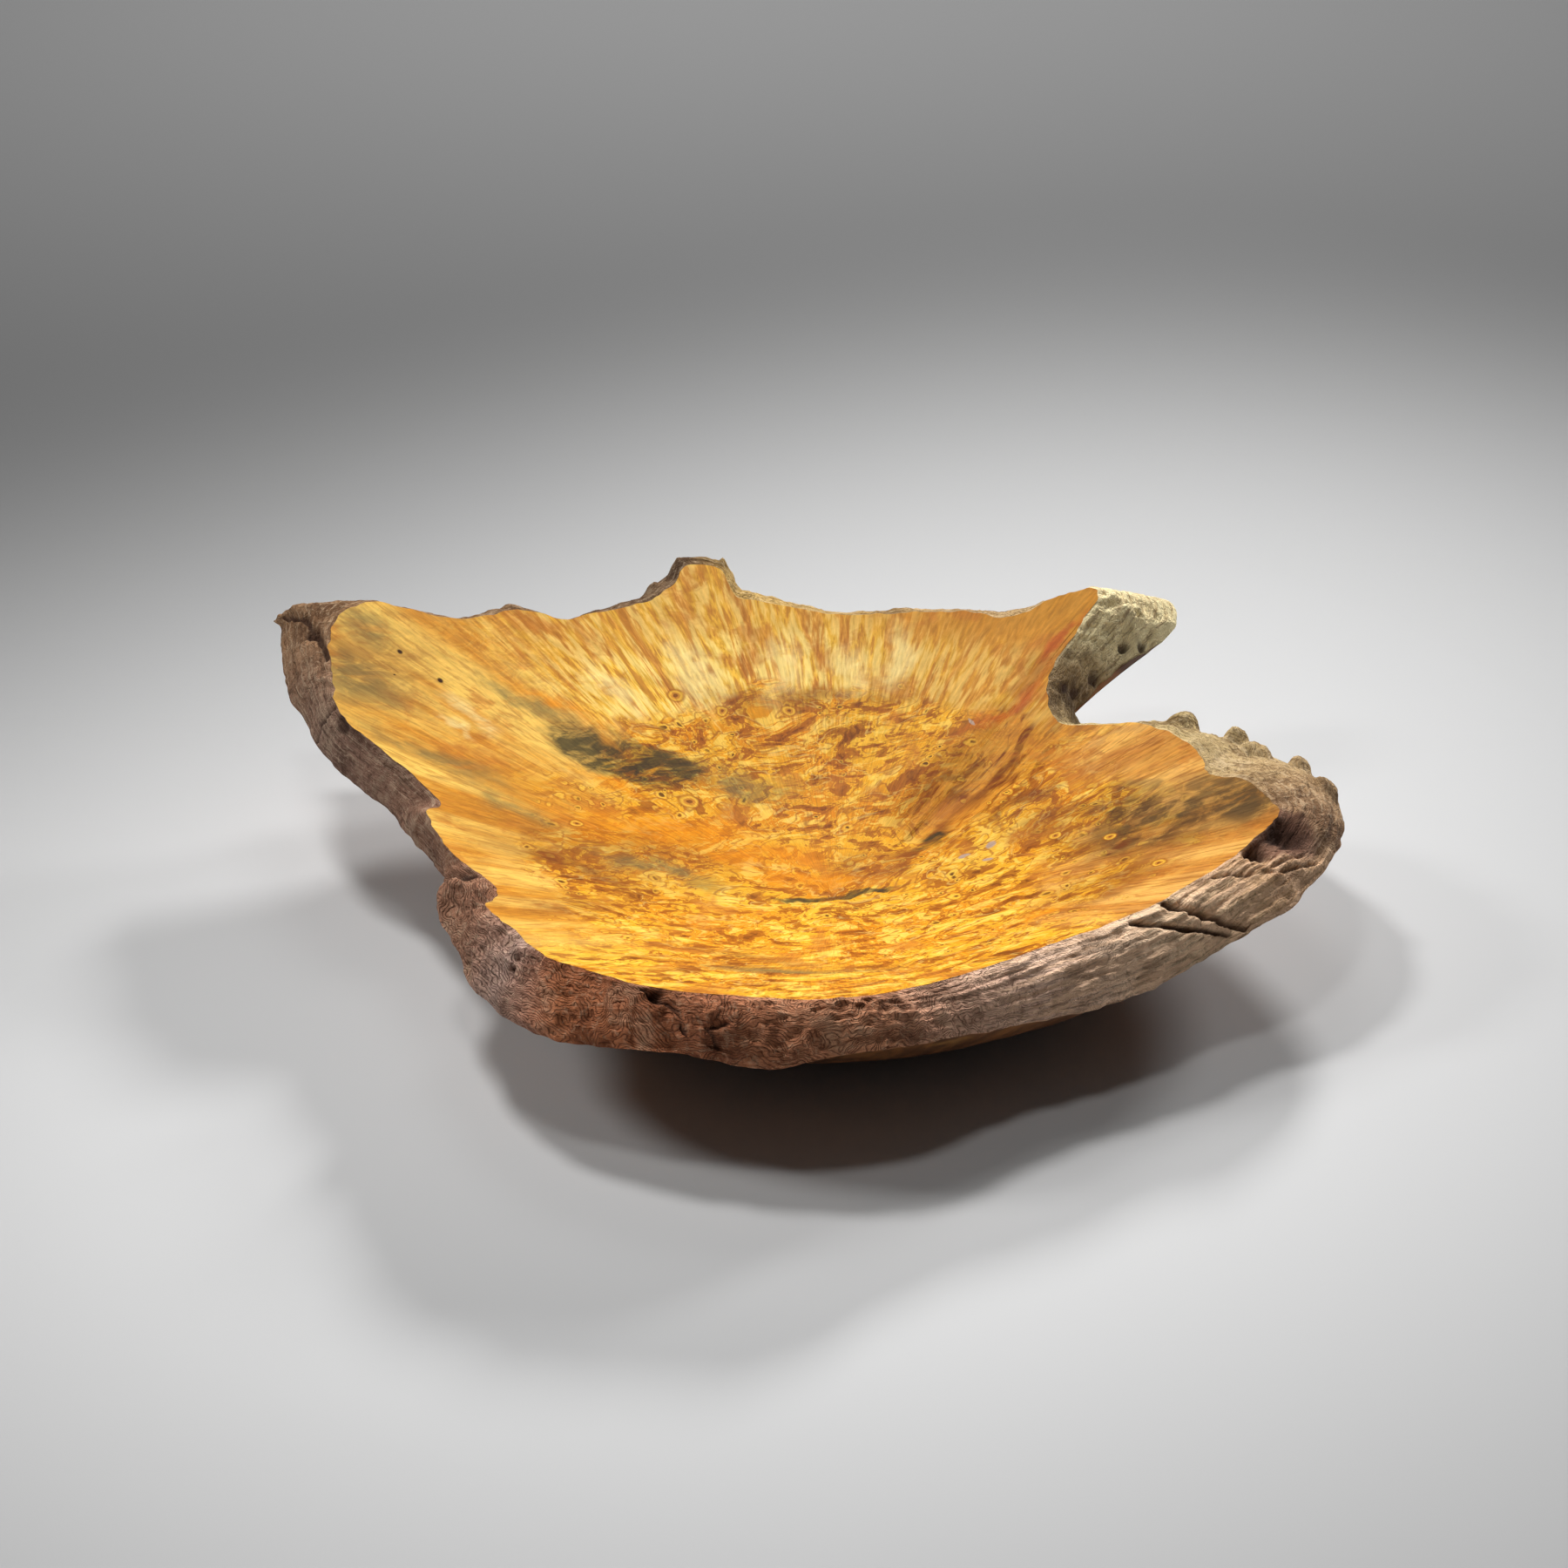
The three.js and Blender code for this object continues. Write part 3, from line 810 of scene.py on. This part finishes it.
def add_dark_hollows(paint, tone):
    """Painted shade: the knot hole beside the lobe is darkened towards purple-brown, and the hollows and
    cracks are darkened.
    """
    # Painted shade: the knot hole is darkened towards purple-brown.
    offset = paint.move("SUBTRACT", paint.warped(paint.place, 90.0, 0.004), KNOT_HOLE)
    tone = paint.tint(tone, colour(128, 88, 72), paint.length(offset), 0.020, 0.012, 0.8)
    # Painted shade: the hollows and cracks are darkened by the point attribute.
    painted_shade = paint.node("ShaderNodeAttribute", {"attribute_name": "painted_shade"}, {}, "Fac")
    return paint.tint(tone, colour(64, 38, 26), painted_shade, 0.15, 0.75, 0.85)


def skin_paint():
    """The burl skin: fibres and furrows along the rim, growth lines at the front, flecks all over."""
    paint = Paint("burl_skin")
    rim = paint.node("ShaderNodeUVMap", {"uv_map": "Rim"}, {})
    u, v, _ = paint.split(rim)
    x, y, _ = paint.split(paint.place)

    # Fibres run along the rim: stretched in plan, fine across.
    fibre_place = paint.vector(paint.times(x, 0.10), paint.times(y, 0.10), paint.times(v, 0.036))
    fibre_place = paint.warped(paint.warped(fibre_place, 60.0, 0.003), 200.0, 0.0010)
    fibres = paint.noise(fibre_place, 520.0, 5.0, 0.65)
    furrows = paint.noise(fibre_place, 170.0, 4.0, 0.6)
    mottle = paint.noise(paint.warped(paint.place, 40.0, 0.014), 50.0, 5.0, 0.65)
    flecks = paint.noise(paint.place, 420.0, 3.0, 0.6)
    at_front = along_rim(paint, u, 48, 61, 2)
    # Growth lines: thin dark lines that swirl round the lumps.
    swirls = paint.times(paint.noise(paint.warped(paint.place, 30.0, 0.010), 30.0, 3.0), 0.070)
    swirled = paint.plus(paint.times(v, 0.030), swirls)
    lines = paint.math("PINGPONG", paint.math("DIVIDE", swirled, 0.0019), 0.5)

    base = base_along_rim(paint, u)
    dark = paint.mix(1.0, base, (0.34, 0.28, 0.24, 1.0), "MULTIPLY")
    pale = paint.mix(0.4, base, colour(244, 220, 184))
    tone = paint.tint(base, dark, mottle, 0.50, 0.36, 0.7)
    tone = paint.tint(tone, pale, mottle, 0.53, 0.66, 0.45)
    # The front has fewer furrows and fibres than the rest, and stronger growth lines.
    furrowed = paint.minus(0.6, paint.times(at_front, 0.5))
    tone = paint.tint(tone, dark, furrows, 0.46, 0.38, furrowed)
    lined = paint.plus(0.25, paint.times(at_front, 0.4))
    tone = paint.tint(tone, dark, lines, 0.20, 0.04, lined)
    fibrous = paint.minus(0.55, paint.times(at_front, 0.4))
    tone = paint.tint(tone, pale, fibres, 0.53, 0.64, fibrous)
    tone = paint.tint(tone, dark, fibres, 0.46, 0.36, fibrous)
    tone = paint.tint(tone, pale, flecks, 0.54, 0.66, 0.4)
    tone = paint.tint(tone, dark, flecks, 0.44, 0.34, 0.6)
    tone = add_pale_stretches(paint, tone, u, fibres)
    tone = add_dark_hollows(paint, tone)

    paint.put(paint.shader.inputs["Base Color"], tone)
    paint.shader.inputs["Roughness"].default_value = 0.82
    paint.shader.inputs["Specular IOR Level"].default_value = 0.25
    relief = paint.plus(paint.times(fibres, 0.7), paint.times(furrows, 1.0))
    grooves = paint.times(paint.ease(lines, 0.0, 0.25), lined)
    for part, weight in ((grooves, 0.4), (mottle, 0.8), (flecks, 0.5)):
        relief = paint.plus(relief, paint.times(part, weight))
    paint.put(paint.shader.inputs["Normal"], paint.bump(relief, 0.0028, 1.0))
    return paint.material


def outside_paint():
    """The turned outside: reddish brown, with streaks out from the middle, swirls and small eyes."""
    paint = Paint("turned_outside")
    x, y, _ = paint.split(paint.place)
    streaked = round_the_middle(paint, x, y, 0.3)[3]
    streaks = paint.noise(paint.warped(streaked, 40.0, 0.006), 130.0, 4.0, 0.6)
    swirls = paint.noise(paint.warped(paint.place, 30.0, 0.015), 40.0, 5.0, 0.6)
    tone = paint.mix(paint.ease(streaks, 0.36, 0.62), colour(104, 64, 36), colour(160, 104, 58))
    tone = paint.tint(tone, colour(92, 56, 34), swirls, 0.48, 0.34, 0.6)
    tone = paint.tint(tone, colour(206, 150, 84), swirls, 0.56, 0.70, 0.6)
    distance = paint.cells(paint.warped(paint.place, 120.0, 0.002), 80.0)
    tone = paint.tint(tone, colour(80, 44, 22), distance, 0.16, 0.07, 0.5)
    paint.put(paint.shader.inputs["Base Color"], tone)
    paint.put(paint.shader.inputs["Roughness"], paint.plus(0.42, paint.times(swirls, 0.14)))
    paint.put(paint.shader.inputs["Normal"], paint.bump(streaks, 0.0006, 0.5))
    return paint.material


# ---- the bowl ----------------------------------------------------------------

def make_bowl():
    """The bowl stands for the solid and rides with it."""
    mesh = bowl_mesh()
    for material in (inside_paint(), skin_paint(), outside_paint()):
        mesh.materials.append(material)
    bowl = bpy.data.objects.new("bowl_wood", mesh)
    bpy.context.scene.collection.objects.link(bowl)
    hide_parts("burl_bowl")
    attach(bowl, "root")


# ---- floor, light and camera ---------------------------------------------------

CAMERA_DISTANCE = 1.9
CAMERA_ELEVATION = math.radians(25)
CAMERA_TARGET = Vector((-0.020, 0.085, 0.040))
CAMERA_ANGLE = math.radians(20)
LIGHT_TARGET = (0, -0.1, 0)


def make_floor():
    half = 4.0
    corners = [(-half, -half, 0), (half, -half, 0), (half, half, 0), (-half, half, 0)]
    mesh = bpy.data.meshes.new("pale_floor")
    mesh.from_pydata(corners, [], [(0, 1, 2, 3)])
    paint = Paint("pale_floor")
    paint.shader.inputs["Base Color"].default_value = colour(205, 205, 205)
    paint.shader.inputs["Roughness"].default_value = 0.8
    mesh.materials.append(paint.material)
    floor = bpy.data.objects.new("pale_floor", mesh)
    bpy.context.scene.collection.objects.link(floor)


def make_light(name, place, target, size, power, spread, glossy=True):
    """A round soft light aimed at the target, with its spread in degrees."""
    data = bpy.data.lights.new(name, "AREA")
    data.shape = "DISK"
    data.size = size
    data.energy = power
    data.spread = math.radians(spread)
    light = bpy.data.objects.new(name, data)
    light.location = place
    light.rotation_euler = (Vector(target) - Vector(place)).to_track_quat("-Z", "Y").to_euler()
    light.visible_glossy = glossy
    bpy.context.scene.collection.objects.link(light)


def make_camera():
    """The camera looks along +Y and down, at the camera's target."""
    data = bpy.data.cameras.new("camera")
    data.sensor_fit = "HORIZONTAL"
    data.angle = CAMERA_ANGLE
    data.clip_end = 50
    camera = bpy.data.objects.new("camera", data)
    back = Vector((0, -math.cos(CAMERA_ELEVATION), math.sin(CAMERA_ELEVATION)))
    camera.location = CAMERA_TARGET + CAMERA_DISTANCE * back
    camera.rotation_euler = (-back).to_track_quat("-Z", "Y").to_euler()
    bpy.context.scene.collection.objects.link(camera)
    bpy.context.scene.camera = camera


def make_world():
    world = bpy.data.worlds.new("studio")
    world.use_nodes = True
    background = world.node_tree.nodes["Background"]
    background.inputs["Color"].default_value = (0.8, 0.8, 0.8, 1)
    background.inputs["Strength"].default_value = 0.07
    bpy.context.scene.world = world


make_bowl()
make_floor()
make_light("key", (-0.6, 0.35, 1.55), LIGHT_TARGET, 0.3, 1.35, 60)
make_light("back", (0.55, 1.9, 1.05), LIGHT_TARGET, 0.35, 1.8, 32, False)
make_light("right", (1.35, 1.35, 1.0), LIGHT_TARGET, 0.4, 0.8, 40)
make_light("left", (-1.3, 0.0, 1.1), LIGHT_TARGET, 0.4, 0.45, 40)
make_light("front", (-0.25, -0.6, 1.9), LIGHT_TARGET, 0.3, 0.4, 50)
make_light("backdrop", (0.0, 1.9, 2.2), (0, 1.6, 0), 1.0, 6.0, 90)
make_camera()
make_world()
bpy.context.scene.view_settings.view_transform = "Standard"
